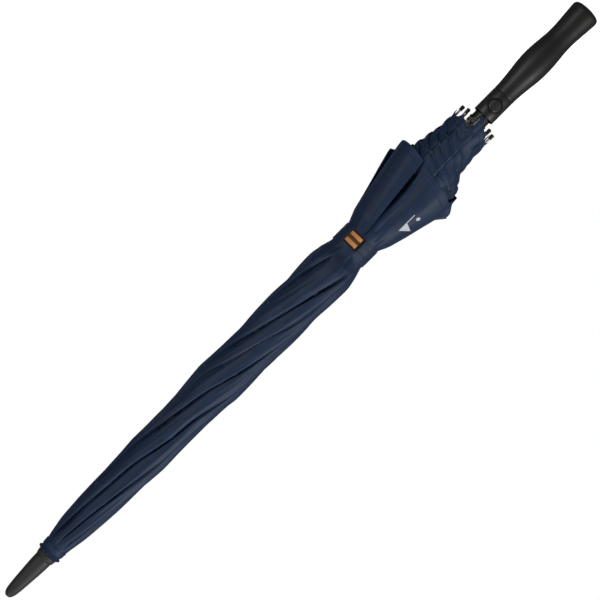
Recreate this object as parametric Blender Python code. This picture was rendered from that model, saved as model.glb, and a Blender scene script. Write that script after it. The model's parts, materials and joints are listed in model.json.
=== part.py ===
"""Golf umbrella, closed, rolled and strapped, with its rib linkage, runner, auto-open catch and grip.

Frame: metres, +Z up along the shaft towards the ferrule, as the umbrella is held in use.
The origin is on the shaft's axis, in the middle of the hand grip. The push button faces -Y.
Ribs, stretchers and canopy panels are numbered anticlockwise seen from the ferrule, from +X.

The linkage is exact: on each rib the distance from the crown pivot to the stretcher pivot equals
the stretcher's length, so the runner's pivots stay at the crown's pivot radius and the runner
slides straight along the shaft as the ribs open.
"""
import math

import bmesh
import bpy
from mathutils import Matrix, Vector

MM = 0.001

# --- driving dimensions (metres) ---
RIBS = 8                      # ribs, stretchers and gores
PITCH = math.radians(45.0)    # angle between two ribs
PIVOT_R = 10.5 * MM           # radius of the pivots on the crown and on the runner
Z_CROWN = 0.830               # height of the crown's pivots
Z_RUNNER = 0.112              # height of the runner's pivots, closed
Z_TIPS = 0.107                # height of the rib tips, closed
TIP_R = 25.0 * MM             # radius of the rib tips, closed
OPEN = math.radians(70.0)     # how far a rib swings from closed to open

SHAFT_R, SHAFT_BORE = 7.0 * MM, 6.2 * MM
SHAFT_Z = (-0.062, 0.868)
ROD_R = 1.5 * MM              # rib rod
EYE_R, EYE_HOLE = 1.7 * MM, 0.85 * MM
BUTTON_Z = 0.0824
BUTTON_TURN = math.radians(-7.0)   # the button's turn about the shaft from -Y
STRAP_Z = (0.307, 0.333)
TAB_Z = 0.3175
TAB_TURN = math.radians(-78.0)     # azimuth of the strap's tab
Z_HEM = 0.1225                # lower edge of the canopy at the ribs
Z_TOP = 0.8415                # upper edge of the canopy, under its rosette

TILT = math.atan((TIP_R - PIVOT_R) / (Z_CROWN - Z_TIPS))       # rib's lean, closed
RIB_L = (Z_CROWN - Z_TIPS) / math.cos(TILT)                    # rib, pivot to tip
LINK = (Z_CROWN - Z_RUNNER) / 2 / math.cos(TILT)               # crown to stretcher pivot = stretcher's length
TRAVEL = 2 * LINK * (math.cos(TILT) - math.cos(TILT + OPEN))   # how far the runner slides

# outer radius of the rolled canopy against height (z in m, radius in mm), top to bottom
ROLL = [(0.8415, 14.8), (0.799, 18.6), (0.750, 21.6), (0.702, 24.4), (0.604, 24.8), (0.556, 29.0), (0.483, 27.8),
        (0.411, 28.9), (0.350, 29.3), (0.3395, 24.5), (0.3045, 24.5), (0.289, 31.7), (0.240, 43.5), (0.216, 53.0),
        (0.190, 43.0), (0.1675, 31.5), (0.150, 28.6), (Z_HEM, 28.3)]

# --- materials: name -> (colour, roughness, metallic) ---
LOOKS = {
    "grip_rubber": ((0.030, 0.030, 0.030), 0.62, 0.0),
    "black_plastic": ((0.034, 0.034, 0.034), 0.5, 0.0),
    "button_plastic": ((0.045, 0.045, 0.045), 0.42, 0.0),
    "shaft_enamel": ((0.035, 0.036, 0.038), 0.35, 0.6),
    "steel": ((0.62, 0.62, 0.60), 0.34, 1.0),
    "rib_steel": ((0.66, 0.65, 0.62), 0.36, 1.0),
    "white_nylon": ((0.72, 0.72, 0.70), 0.5, 0.0),
    "tip_plastic": ((0.028, 0.028, 0.028), 0.45, 0.0),
    "navy_cloth": ((0.014, 0.026, 0.062), 0.72, 0.0),
    "strap_cloth": ((0.013, 0.024, 0.056), 0.75, 0.0),
    "tab_cloth": ((0.66, 0.28, 0.09), 0.7, 0.0),
    "hook_tape": ((0.02, 0.02, 0.02), 0.8, 0.0),
}


def clear_scene():
    for thing in list(bpy.data.objects):
        bpy.data.objects.remove(thing, do_unlink=True)
    for mesh in list(bpy.data.meshes):
        bpy.data.meshes.remove(mesh)


def finish_for(node, look):
    colour, roughness, metallic = LOOKS[look]
    mat = bpy.data.materials.new(node + "_finish")
    mat.use_nodes = True
    shader = mat.node_tree.nodes["Principled BSDF"]
    shader.inputs["Base Color"].default_value = (*colour, 1.0)
    shader.inputs["Roughness"].default_value = roughness
    shader.inputs["Metallic"].default_value = metallic
    mat.diffuse_color = (*colour, 1.0)
    return mat


def make_object(name, bm):
    """An object from a bmesh, its faces turned outwards."""
    bmesh.ops.recalc_face_normals(bm, faces=bm.faces)
    if bm.calc_volume(signed=True) < 0:
        bmesh.ops.reverse_faces(bm, faces=bm.faces)
    mesh = bpy.data.meshes.new(name)
    bm.to_mesh(mesh)
    bm.free()
    thing = bpy.data.objects.new(name, mesh)
    bpy.context.scene.collection.objects.link(thing)
    return thing


def as_node(thing, look, smooth=True, parent=None):
    if smooth:
        thing.data.shade_smooth()
        thing.data.set_sharp_from_angle(angle=math.radians(35))
    thing.data.materials.clear()
    thing.data.materials.append(finish_for(thing.name, look))
    if parent is not None:
        thing.parent = parent
    return thing


def combine(thing, tool, operation):
    """Applies an exact Boolean with tool and removes the tool."""
    step = thing.modifiers.new(operation.title(), "BOOLEAN")
    step.operation, step.object, step.solver = operation, tool, "EXACT"
    bpy.context.view_layer.update()
    seen = thing.evaluated_get(bpy.context.evaluated_depsgraph_get())
    mesh = bpy.data.meshes.new_from_object(seen)
    thing.modifiers.clear()
    old, thing.data = thing.data, mesh
    mesh.name = thing.name
    bpy.data.meshes.remove(old)
    bpy.data.objects.remove(tool, do_unlink=True)
    return thing


def turned(name, rings, sides, hollow, place=None):
    """A solid of revolution from (radius, height) pairs. A hollow one joins its last ring to its first.

    place maps (x, y, z), with z the turning axis, to where the solid lies.
    """
    bm = bmesh.new()
    loops = []
    for r, z in rings:
        if r < 1e-9:
            points = [(0.0, 0.0, z)]
        else:
            points = [
                (r * math.cos(2 * math.pi * i / sides), r * math.sin(2 * math.pi * i / sides), z)
                for i in range(sides)
            ]
        loops.append([bm.verts.new(place(*p) if place else p) for p in points])
    pairs = list(zip(loops, loops[1:]))
    if hollow:
        pairs.append((loops[-1], loops[0]))
    for a, b in pairs:
        for i in range(sides):
            j = (i + 1) % sides
            if len(a) == 1:
                bm.faces.new((a[0], b[j], b[i]))
            elif len(b) == 1:
                bm.faces.new((a[i], a[j], b[0]))
            else:
                bm.faces.new((a[i], a[j], b[j], b[i]))
    return make_object(name, bm)


def prism(name, outline, low, high, place):
    """An outline of (a, b) points extruded along c from low to high; place maps (a, b, c) to (x, y, z)."""
    bm = bmesh.new()
    bottom = [bm.verts.new(place(a, b, low)) for a, b in outline]
    top = [bm.verts.new(place(a, b, high)) for a, b in outline]
    bm.faces.new(bottom)
    bm.faces.new(top)
    for i in range(len(outline)):
        j = (i + 1) % len(outline)
        bm.faces.new((bottom[i], bottom[j], top[j], top[i]))
    return make_object(name, bm)


def round_outline(radius, sides, centre=(0.0, 0.0)):
    return [
        (centre[0] + radius * math.cos(2 * math.pi * (i + 0.5) / sides),
         centre[1] + radius * math.sin(2 * math.pi * (i + 0.5) / sides))
        for i in range(sides)
    ]


def arc_points(radius, start, end, steps, centre=(0.0, 0.0)):
    return [
        (centre[0] + radius * math.cos(math.radians(start + (end - start) * i / steps)),
         centre[1] + radius * math.sin(math.radians(start + (end - start) * i / steps)))
        for i in range(steps + 1)
    ]


def flat(a, b, c):
    return (a, b, c)


def bent_band(name, r_in, r_out, az0, az1, z0, z1, steps):
    """A strip of a cylinder's wall between two azimuths; a full turn makes a ring."""
    if abs(az1 - az0) > 2 * math.pi - 1e-6:
        return turned(name, [(r_out, z1), (r_out, z0), (r_in, z0), (r_in, z1)], steps, True)
    bm = bmesh.new()
    grid = []
    for i in range(steps + 1):
        a = az0 + (az1 - az0) * i / steps
        c, s = math.cos(a), math.sin(a)
        grid.append([bm.verts.new((r * c, r * s, z)) for r, z in ((r_in, z0), (r_out, z0), (r_out, z1), (r_in, z1))])
    for a, b in zip(grid, grid[1:]):
        for i in range(4):
            j = (i + 1) % 4
            bm.faces.new((a[i], a[j], b[j], b[i]))
    bm.faces.new(grid[0])
    bm.faces.new(grid[-1])
    return make_object(name, bm)


def tube_along(name, points, radius, sides):
    """A round wire along a list of points, with flat ends."""
    bm = bmesh.new()
    rings = []
    side = None
    for i, p in enumerate(points):
        ahead = points[min(i + 1, len(points) - 1)] - points[max(i - 1, 0)]
        ahead.normalize()
        if side is None:
            side = ahead.orthogonal().normalized()
        side = (side - ahead * side.dot(ahead)).normalized()
        up = ahead.cross(side)
        rings.append([
            bm.verts.new(p + radius * (math.cos(2 * math.pi * k / sides) * side + math.sin(2 * math.pi * k / sides) * up))
            for k in range(sides)
        ])
    for a, b in zip(rings, rings[1:]):
        for i in range(sides):
            j = (i + 1) % sides
            bm.faces.new((a[i], a[j], b[j], b[i]))
    bm.faces.new(rings[0])
    bm.faces.new(rings[-1])
    return make_object(name, bm)


def wire_ring(name, radius, wire, z, around, sides):
    """A ring of round wire about the shaft."""
    rings = [
        (radius + wire * math.cos(2 * math.pi * k / sides), z + wire * math.sin(2 * math.pi * k / sides))
        for k in range(sides)
    ]
    return turned(name, rings, around, True)


def roll_radius(z):
    """Outer radius of the rolled canopy at a height, in metres."""
    for (z0, r0), (z1, r1) in zip(ROLL, ROLL[1:]):
        if z <= z0 and z >= z1:
            return (r0 + (r1 - r0) * (z0 - z) / (z0 - z1)) * MM
    return ROLL[-1][1] * MM


def rib_outer(z):
    """How far a closed rib's outer side is from the shaft's axis at a height."""
    return PIVOT_R + max(Z_CROWN - z, 0.0) * math.tan(TILT) + ROD_R


def fan_hinge(k):
    """(a point on panel k's fold hinge, its axis, its turn), in the closed umbrella's frame.

    The hinge turns rib k+1's closed line to where it stands, seen from rib k, when the umbrella is open.
    """
    def rib(n):
        psi = n * PITCH
        out = Vector((math.cos(psi), math.sin(psi), 0.0))
        turn = Matrix.Rotation(OPEN, 3, Vector((math.sin(psi), -math.cos(psi), 0.0)))
        foot = out * PIVOT_R + Vector((0.0, 0.0, Z_CROWN))
        return foot, turn, out * math.sin(TILT) + Vector((0.0, 0.0, -math.cos(TILT)))

    foot_a, turn_a, _ = rib(k)
    foot_b, turn_b, line = rib(k + 1)
    target = turn_a.transposed() @ (turn_b @ line)
    axis = line.cross(target).normalized()
    angle = line.angle(target)
    spin = Matrix.Rotation(angle, 3, axis)
    moved = foot_a + turn_a.transposed() @ (foot_b - foot_a)
    shift = moved - spin @ foot_b
    shift -= axis * shift.dot(axis)
    # the centre of a turn that also shifts: half the shift, plus its cross part
    centre = 0.5 * (shift + axis.cross(shift) / math.tan(angle / 2))
    return centre, axis, angle


def crown_and_runner_slots(thing, floor, top):
    for k in range(RIBS):
        turn = Matrix.Rotation(k * PITCH, 3, "Z")
        slot = prism("slot", [(8.4 * MM, -1.4 * MM), (15 * MM, -1.4 * MM), (15 * MM, 1.4 * MM), (8.4 * MM, 1.4 * MM)],
                     floor, top, lambda a, b, c: turn @ Vector((a, b, c)))
        combine(thing, slot, "DIFFERENCE")


def build_shaft_group():
    # steel tube with a pin slot down its back and a cross hole for the handle pin
    tube = turned("shaft", [(SHAFT_R, SHAFT_Z[1]), (SHAFT_R, SHAFT_Z[0]), (SHAFT_BORE, SHAFT_Z[0]), (SHAFT_BORE, SHAFT_Z[1])], 20, True)
    pin_z = Z_RUNNER - 0.014
    slot = prism("cut", [(-1.5 * MM, 3 * MM), (1.5 * MM, 3 * MM), (1.5 * MM, 9 * MM), (-1.5 * MM, 9 * MM)],
                 pin_z - 0.004, pin_z + TRAVEL + 0.004, flat)
    combine(tube, slot, "DIFFERENCE")
    hole = prism("cut", round_outline(1.6 * MM, 8, (0.0, -0.010)), -0.012, 0.012, lambda a, b, c: (c, a, b))
    combine(tube, hole, "DIFFERENCE")
    as_node(tube, "shaft_enamel")

    as_node(turned("ferrule", [
        (0.0, 0.870), (7.4 * MM, 0.870), (7.4 * MM, 0.8565), (11.3 * MM, 0.8565), (11.1 * MM, 0.866), (10.5 * MM, 0.876),
        (9.8 * MM, 0.885), (9.0 * MM, 0.896), (8.1 * MM, 0.9055), (7.2 * MM, 0.9115), (5.8 * MM, 0.9160),
        (3.6 * MM, 0.9190), (0.0, 0.9200)], 24, False), "black_plastic")
    as_node(turned("ferrule_skirt", [
        (11.9 * MM, 0.8560), (12.2 * MM, 0.8552), (13.2 * MM, 0.8488), (7.4 * MM, 0.8488), (7.4 * MM, 0.8560)], 24, True), "black_plastic")
    as_node(turned("canopy_rosette", [
        (12.6 * MM, 0.8484), (15.2 * MM, 0.8462), (15.6 * MM, 0.8440), (15.2 * MM, 0.8420), (12.0 * MM, 0.8430),
        (7.4 * MM, 0.8430), (7.4 * MM, 0.8484)], 24, True), "navy_cloth")

    # crown: the notched hub that the ribs pivot in, and the wire through their eyes
    z = Z_CROWN
    crown = turned("crown", [
        (12.5 * MM, z + 5 * MM), (12.5 * MM, z + 0.95 * MM), (9.7 * MM, z + 0.95 * MM), (9.7 * MM, z - 0.95 * MM),
        (12.5 * MM, z - 0.95 * MM), (12.5 * MM, z - 4 * MM), (7.3 * MM, z - 4 * MM), (7.3 * MM, z + 5 * MM)], 24, True)
    crown_and_runner_slots(crown, z - 6 * MM, z + 7 * MM)
    as_node(crown, "white_nylon")
    as_node(wire_ring("crown_wire", PIVOT_R, 0.5 * MM, z, 24, 6), "steel")

    # collar that stops the runner at the open position
    stop_z = Z_RUNNER + TRAVEL + 0.0046
    as_node(turned("top_stop", [(9.4 * MM, stop_z + 5 * MM), (9.4 * MM, stop_z), (7.3 * MM, stop_z), (7.3 * MM, stop_z + 5 * MM)], 20, True), "black_plastic")

    # plug that the main spring stands on, inside the shaft
    as_node(turned("spring_seat", [(0.0, 0.010), (5.8 * MM, 0.010), (5.8 * MM, 0.004), (0.0, 0.004)], 16, False), "steel")
    turns, per = 8, 8
    coil = [
        Vector((4.6 * MM * math.cos(2 * math.pi * i / per), 4.6 * MM * math.sin(2 * math.pi * i / per),
                0.0113 + 0.0806 * i / (turns * per)))
        for i in range(turns * per + 1)
    ]
    as_node(tube_along("main_spring", coil, 0.55 * MM, 4), "steel")


def build_handle():
    as_node(turned("handle_grip", [
        (0.0, -0.080), (14.6 * MM, -0.080), (16.6 * MM, -0.0793), (18.2 * MM, -0.0775), (18.8 * MM, -0.0742),
        (18.1 * MM, -0.0635), (17.1 * MM, -0.0511), (16.3 * MM, -0.0390), (16.5 * MM, -0.0268), (17.6 * MM, -0.0147),
        (18.6 * MM, -0.0026), (19.0 * MM, 0.0096), (18.4 * MM, 0.0217), (17.0 * MM, 0.0339), (15.6 * MM, 0.0460),
        (14.8 * MM, 0.0560), (14.5 * MM, 0.0638), (14.2 * MM, 0.0646), (13.0 * MM, 0.0646), (13.0 * MM, 0.0595), (10.8 * MM, 0.0595),
        (10.8 * MM, -0.0720), (0.0, -0.0720)], 24, False), "grip_rubber")
    core = turned("handle_core", [
        (12.6 * MM, 0.0715), (12.6 * MM, 0.0605), (10.4 * MM, 0.0599), (10.4 * MM, -0.0680), (7.3 * MM, -0.0680), (7.3 * MM, 0.0715)], 20, True)
    hole = prism("cut", round_outline(1.6 * MM, 8, (0.0, -0.010)), -0.012, 0.012, lambda a, b, c: (c, a, b))
    combine(core, hole, "DIFFERENCE")
    as_node(core, "black_plastic")
    as_node(turned("handle_pin", [(0.0, -10.2 * MM), (1.2 * MM, -10.2 * MM), (1.2 * MM, 10.2 * MM), (0.0, 10.2 * MM)], 8, False,
                   lambda x, y, z: (z, x, y - 0.010)), "steel")

    turn = Matrix.Rotation(BUTTON_TURN, 3, "Z")

    def facing(a, b, c):
        """a to the side, b up from the button's middle, c outwards along the button's axis."""
        return turn @ Vector((a, -c, BUTTON_Z + b))

    housing = turned("button_housing", [
        (14.0 * MM, 0.0994), (14.4 * MM, 0.0989), (14.4 * MM, 0.0657), (14.1 * MM, 0.0651), (12.9 * MM, 0.0651), (12.9 * MM, 0.0994)], 28, True)
    combine(housing, prism("cut", round_outline(10.0 * MM, 24), 5 * MM, 20 * MM, facing), "DIFFERENCE")
    as_node(housing, "black_plastic")

    # bezel and button follow the housing's round wall
    bezel = prism("button_bezel", round_outline(9.7 * MM, 24), 9.2 * MM, 17 * MM, facing)
    combine(bezel, prism("cut", round_outline(8.3 * MM, 24), 5 * MM, 20 * MM, facing), "DIFFERENCE")
    combine(bezel, turned("limit", [(0.0, 0.06), (14.9 * MM, 0.06), (14.9 * MM, 0.11), (0.0, 0.11)], 48, False), "INTERSECT")
    as_node(bezel, "black_plastic")
    button = prism("button", round_outline(7.9 * MM, 24), 12.4 * MM, 17 * MM, facing)
    combine(button, turned("limit", [(0.0, 0.06), (15.1 * MM, 0.06), (15.1 * MM, 0.11), (0.0, 0.11)], 48, False), "INTERSECT")
    as_node(button, "button_plastic")

    # latch slide: a plate round the runner's sleeve; its tooth at the back faces the sleeve's groove, 0.3 mm clear of the sleeve
    low, high = BUTTON_Z - 1.9 * MM, BUTTON_Z + 1.9 * MM
    front = arc_points(11.1 * MM, 180, 360, 10, (0.0, -1.0 * MM))
    back = arc_points(11.1 * MM, 0, 180, 10)
    plate = prism("latch_slide", front + back, low, high, lambda a, b, c: turn @ Vector((a, b, c)))
    front = arc_points(9.5 * MM, 180, 360, 10, (0.0, -1.5 * MM))
    tooth = ([(9.5 * MM * math.cos(math.radians(a)), 9.5 * MM * math.sin(math.radians(a))) for a in (0, 20, 40, 60)]
             + [(9.3 * MM * math.cos(math.radians(a)), 9.3 * MM * math.sin(math.radians(a))) for a in (64, 77, 90, 103, 116)]
             + [(9.5 * MM * math.cos(math.radians(a)), 9.5 * MM * math.sin(math.radians(a))) for a in (120, 140, 160, 180)])
    combine(plate, prism("cut", front + tooth, low - 0.005, high + 0.005, lambda a, b, c: turn @ Vector((a, b, c))), "DIFFERENCE")
    as_node(plate, "white_nylon")

    # bowed leaf spring between the plate and the housing's back wall
    arch = [(-8.0, 9.35), (-5.5, 10.35), (-2.8, 11.15), (0.0, 11.4), (2.8, 11.15), (5.5, 10.35), (8.0, 9.35)]
    leaf = [(a * MM, b * MM) for a, b in arch] + [(a * MM, (b + 0.4) * MM) for a, b in reversed(arch)]
    as_node(prism("button_spring", leaf, BUTTON_Z - 1.5 * MM, BUTTON_Z + 1.5 * MM, lambda a, b, c: turn @ Vector((a, b, c))), "steel")


def build_runner():
    z = Z_RUNNER
    hub = Vector((0.0, 0.0, z))
    runner = turned("runner", [
        (12.5 * MM, z + 4 * MM), (12.5 * MM, z + 0.95 * MM), (9.7 * MM, z + 0.95 * MM), (9.7 * MM, z - 0.95 * MM),
        (12.5 * MM, z - 0.95 * MM), (12.5 * MM, z - 4 * MM), (11.2 * MM, z - 4.6 * MM), (11.2 * MM, z - 11 * MM),
        (9.0 * MM, z - 11.6 * MM), (9.0 * MM, 0.0849), (8.2 * MM, 0.0849), (8.2 * MM, 0.0799), (9.0 * MM, 0.0799),
        (9.0 * MM, 0.0740), (8.5 * MM, 0.0720), (7.3 * MM, 0.0720), (7.3 * MM, z + 4 * MM)], 24, True)
    crown_and_runner_slots(runner, z - 2.6 * MM, z + 6 * MM)
    pin_z = z - 0.014
    hole = prism("cut", round_outline(1.4 * MM, 8, (0.0, pin_z)), 6 * MM, 11 * MM, lambda a, b, c: (a, c, b))
    combine(runner, hole, "DIFFERENCE")
    as_node(runner, "black_plastic")
    as_node(wire_ring("runner_wire", PIVOT_R, 0.5 * MM, z, 24, 6), "steel", parent=None)

    pusher = turned("spring_pusher", [(0.0, pin_z + 5 * MM), (5.7 * MM, pin_z + 5 * MM), (5.7 * MM, pin_z - 5 * MM), (0.0, pin_z - 5 * MM)], 16, False)
    hole = prism("cut", round_outline(1.4 * MM, 8, (0.0, pin_z)), 2.4 * MM, 9 * MM, lambda a, b, c: (a, c, b))
    combine(pusher, hole, "DIFFERENCE")
    as_node(pusher, "white_nylon")
    as_node(turned("runner_pin", [(0.0, 2.8 * MM), (1.05 * MM, 2.8 * MM), (1.05 * MM, 8.8 * MM), (0.0, 8.8 * MM)], 8, False,
                   lambda x, y, w: (x, w, pin_z + y)), "steel")


def build_ribs():
    s, c = math.sin(TILT), math.cos(TILT)

    def on_rib(u, v, w):
        """u along the rib from its pivot, v outwards, w across."""
        return (u * s + v * c, w, -u * c + v * s)

    tongue = arc_points(EYE_R, 90, 270, 6) + [(3.2 * MM, -1.1 * MM), (9.5 * MM, -1.1 * MM), (9.5 * MM, 1.1 * MM), (3.2 * MM, 1.1 * MM)]
    rib = prism("rib_1", tongue, -1.1 * MM, 1.1 * MM, on_rib)
    combine(rib, prism("cut", round_outline(EYE_HOLE, 8), -2 * MM, 2 * MM, on_rib), "DIFFERENCE")
    combine(rib, prism("rod", round_outline(ROD_R, 8), 8.2 * MM, RIB_L - 2 * MM, lambda a, b, w: on_rib(w, a, b)), "UNION")
    combine(rib, prism("pin", round_outline(0.75 * MM, 8, (LINK, 0.0)), -3.0 * MM, 3.0 * MM, on_rib), "UNION")
    rib_mesh = rib.data
    end = RIB_L
    tip = turned("rib_tip_1", [
        (0.0, end - 1.6 * MM), (1.85 * MM, end - 1.6 * MM), (1.85 * MM, end - 7 * MM), (2.3 * MM, end - 7 * MM),
        (2.3 * MM, end - 3.9 * MM), (2.5 * MM, end - 3.4 * MM), (2.5 * MM, end - 1.4 * MM), (1.8 * MM, end - 0.3 * MM), (0.0, end)],
        10, False, lambda x, y, u: on_rib(u, x, y))
    tip_mesh = tip.data
    for k in range(RIBS):
        if k:
            rib = bpy.data.objects.new("rib_%d" % (k + 1), rib_mesh.copy())
            tip = bpy.data.objects.new("rib_tip_%d" % (k + 1), tip_mesh.copy())
            bpy.context.scene.collection.objects.link(rib)
            bpy.context.scene.collection.objects.link(tip)
        rib.location = (PIVOT_R * math.cos(k * PITCH), PIVOT_R * math.sin(k * PITCH), Z_CROWN)
        rib.rotation_euler = (0.0, 0.0, k * PITCH)
        as_node(rib, "rib_steel")
        as_node(tip, "tip_plastic", parent=rib)


def build_stretchers():
    s, c = math.sin(TILT), math.cos(TILT)

    def on_link(u, v, w):
        """u from the rib's pivot towards the runner, v outwards, w across."""
        return (-u * s + v * c, w, -u * c - v * s)

    # U-channel, open outwards so that the closed rib lies in it
    channel = [(-2.7, -2.6), (1.5, -2.6), (1.5, -1.9), (-2.0, -1.9), (-2.0, 1.9), (1.5, 1.9), (1.5, 2.6), (-2.7, 2.6)]
    link = prism("stretcher_1", [(a * MM, b * MM) for a, b in channel], 8 * MM, LINK - 10 * MM, lambda a, b, u: on_link(u, a, b))
    # two ears that straddle the rib
    ear = arc_points(2.1 * MM, 90, 270, 6) + [(12 * MM, -2.1 * MM), (12 * MM, 1.35 * MM), (4 * MM, 1.35 * MM)]
    for low, high in ((1.95 * MM, 2.55 * MM), (-2.55 * MM, -1.95 * MM)):
        combine(link, prism("ear", ear, low, high, on_link), "UNION")
    # pressed shoulder and flat tongue with its eye
    shoulder = [(LINK - 12 * MM, -2.6 * MM), (LINK - 8.4 * MM, -2.6 * MM), (LINK - 8.4 * MM, 1.4 * MM), (LINK - 12 * MM, 1.4 * MM)]
    combine(link, prism("shoulder", shoulder, -2.5 * MM, 2.5 * MM, on_link), "UNION")
    end = [(LINK - 11 * MM, -2.4 * MM), (LINK - 7 * MM, -2.4 * MM), (LINK - 5.5 * MM, -1.7 * MM)] + arc_points(EYE_R, -90, 90, 6, (LINK, 0.0)) + [
        (LINK - 5.5 * MM, 1.3 * MM), (LINK - 11 * MM, 1.3 * MM)]
    combine(link, prism("tongue", end, -1.1 * MM, 1.1 * MM, on_link), "UNION")
    combine(link, prism("cut", round_outline(EYE_HOLE, 8, (LINK, 0.0)), -2 * MM, 2 * MM, on_link), "DIFFERENCE")
    combine(link, prism("cut", round_outline(1.1 * MM, 8), -4 * MM, 4 * MM, on_link), "DIFFERENCE")
    mesh = link.data
    for k in range(RIBS):
        if k:
            link = bpy.data.objects.new("stretcher_%d" % (k + 1), mesh.copy())
            bpy.context.scene.collection.objects.link(link)
        r = PIVOT_R + LINK * math.sin(TILT)
        link.location = (r * math.cos(k * PITCH), r * math.sin(k * PITCH), Z_CROWN - LINK * math.cos(TILT))
        link.rotation_euler = (0.0, 0.0, k * PITCH)
        as_node(link, "steel")


def build_canopy():
    """Eight plain closed shells, one for each rolled gore, outside the ribs."""
    heights = [z for z, _ in ROLL]
    for k in range(RIBS):
        hinge, _, _ = fan_hinge(k)
        bm = bmesh.new()
        rows = []
        for z in heights:
            outer = max(roll_radius(z), rib_outer(z) + 2.0 * MM)
            inner = max(outer - 2.0 * MM, rib_outer(z) + 0.8 * MM)
            if z > Z_CROWN - 0.006:
                inner = max(inner, 13.2 * MM)
            gap = 0.22 * MM / inner
            row = []
            for i in range(4):
                a = k * PITCH + gap + (PITCH - 2 * gap) * i / 3
                row.append(tuple(bm.verts.new(Vector((r * math.cos(a), r * math.sin(a), z)) - hinge) for r in (inner, outer)))
            rows.append(row)
        for up, down in zip(rows, rows[1:]):
            for i in range(3):
                for side in (0, 1):
                    bm.faces.new((up[i][side], up[i + 1][side], down[i + 1][side], down[i][side]))
            for i in (0, 3):
                bm.faces.new((up[i][0], up[i][1], down[i][1], down[i][0]))
        for row in (rows[0], rows[-1]):
            for i in range(3):
                bm.faces.new((row[i][0], row[i][1], row[i + 1][1], row[i + 1][0]))
        panel = make_object("canopy_panel_%d" % (k + 1), bm)
        panel.location = hinge
        as_node(panel, "navy_cloth")


def build_strap():
    low, high = STRAP_Z
    mid = (low + high) / 2
    seam = Vector((0.0, 25.5 * MM, mid))
    pieces = [
        (bent_band("strap_band", 24.9 * MM, 26.0 * MM, 0.0, 2 * math.pi, low, high, 32), "strap_cloth"),
        (bent_band("strap_tab", 26.4 * MM, 27.6 * MM, TAB_TURN - math.radians(18.5), TAB_TURN + math.radians(18.5), TAB_Z - 8 * MM, TAB_Z + 8 * MM, 5), "tab_cloth"),
        (bent_band("strap_hook_patch", 26.4 * MM, 27.0 * MM, TAB_TURN - math.radians(34), TAB_TURN - math.radians(19.5), TAB_Z - 9 * MM, TAB_Z + 9 * MM, 3), "hook_tape"),
    ]
    for thing, look in pieces:
        thing.data.transform(Matrix.Translation(-seam))
        thing.location = seam
        as_node(thing, look)


def main():
    clear_scene()
    build_shaft_group()
    build_handle()
    build_runner()
    build_ribs()
    build_stretchers()
    build_canopy()
    build_strap()
    bpy.context.view_layer.update()


main()
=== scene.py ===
import json
import math

import bmesh
import bpy
import numpy as np
from mathutils import Matrix, Vector


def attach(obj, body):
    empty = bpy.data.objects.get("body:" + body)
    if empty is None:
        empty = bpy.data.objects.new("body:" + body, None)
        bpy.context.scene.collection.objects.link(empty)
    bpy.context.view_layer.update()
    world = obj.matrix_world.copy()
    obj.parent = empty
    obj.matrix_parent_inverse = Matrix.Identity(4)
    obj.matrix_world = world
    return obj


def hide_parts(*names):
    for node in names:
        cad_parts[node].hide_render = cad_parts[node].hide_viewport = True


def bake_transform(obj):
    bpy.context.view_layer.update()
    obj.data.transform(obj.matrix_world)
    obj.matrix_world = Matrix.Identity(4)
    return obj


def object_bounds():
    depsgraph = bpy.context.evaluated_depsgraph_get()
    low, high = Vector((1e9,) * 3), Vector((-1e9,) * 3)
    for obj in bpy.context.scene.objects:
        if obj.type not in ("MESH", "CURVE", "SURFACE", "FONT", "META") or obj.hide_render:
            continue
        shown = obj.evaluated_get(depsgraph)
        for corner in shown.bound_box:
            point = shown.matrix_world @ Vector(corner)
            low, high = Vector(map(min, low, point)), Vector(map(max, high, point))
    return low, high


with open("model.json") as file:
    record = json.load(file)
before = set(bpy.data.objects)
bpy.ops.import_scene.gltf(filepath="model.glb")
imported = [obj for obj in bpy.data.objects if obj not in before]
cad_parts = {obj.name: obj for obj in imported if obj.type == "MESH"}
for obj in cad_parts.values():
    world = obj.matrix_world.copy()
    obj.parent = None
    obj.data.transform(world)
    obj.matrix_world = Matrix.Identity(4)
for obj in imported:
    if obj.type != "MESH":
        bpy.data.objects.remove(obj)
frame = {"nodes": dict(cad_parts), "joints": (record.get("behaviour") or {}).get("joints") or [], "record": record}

MM = 0.001
CAD_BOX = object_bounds()
JOINTS = {j["name"]: j for j in frame["joints"]}
SCENE = bpy.context.scene
SCENE.view_settings.view_transform = "Standard"


# ------------------------------------------------------------------ camera, light, floor

def look_matrix(right, up, back, place):
    m = Matrix((right, up, back)).transposed().to_4x4()
    m.translation = place
    return m


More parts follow.
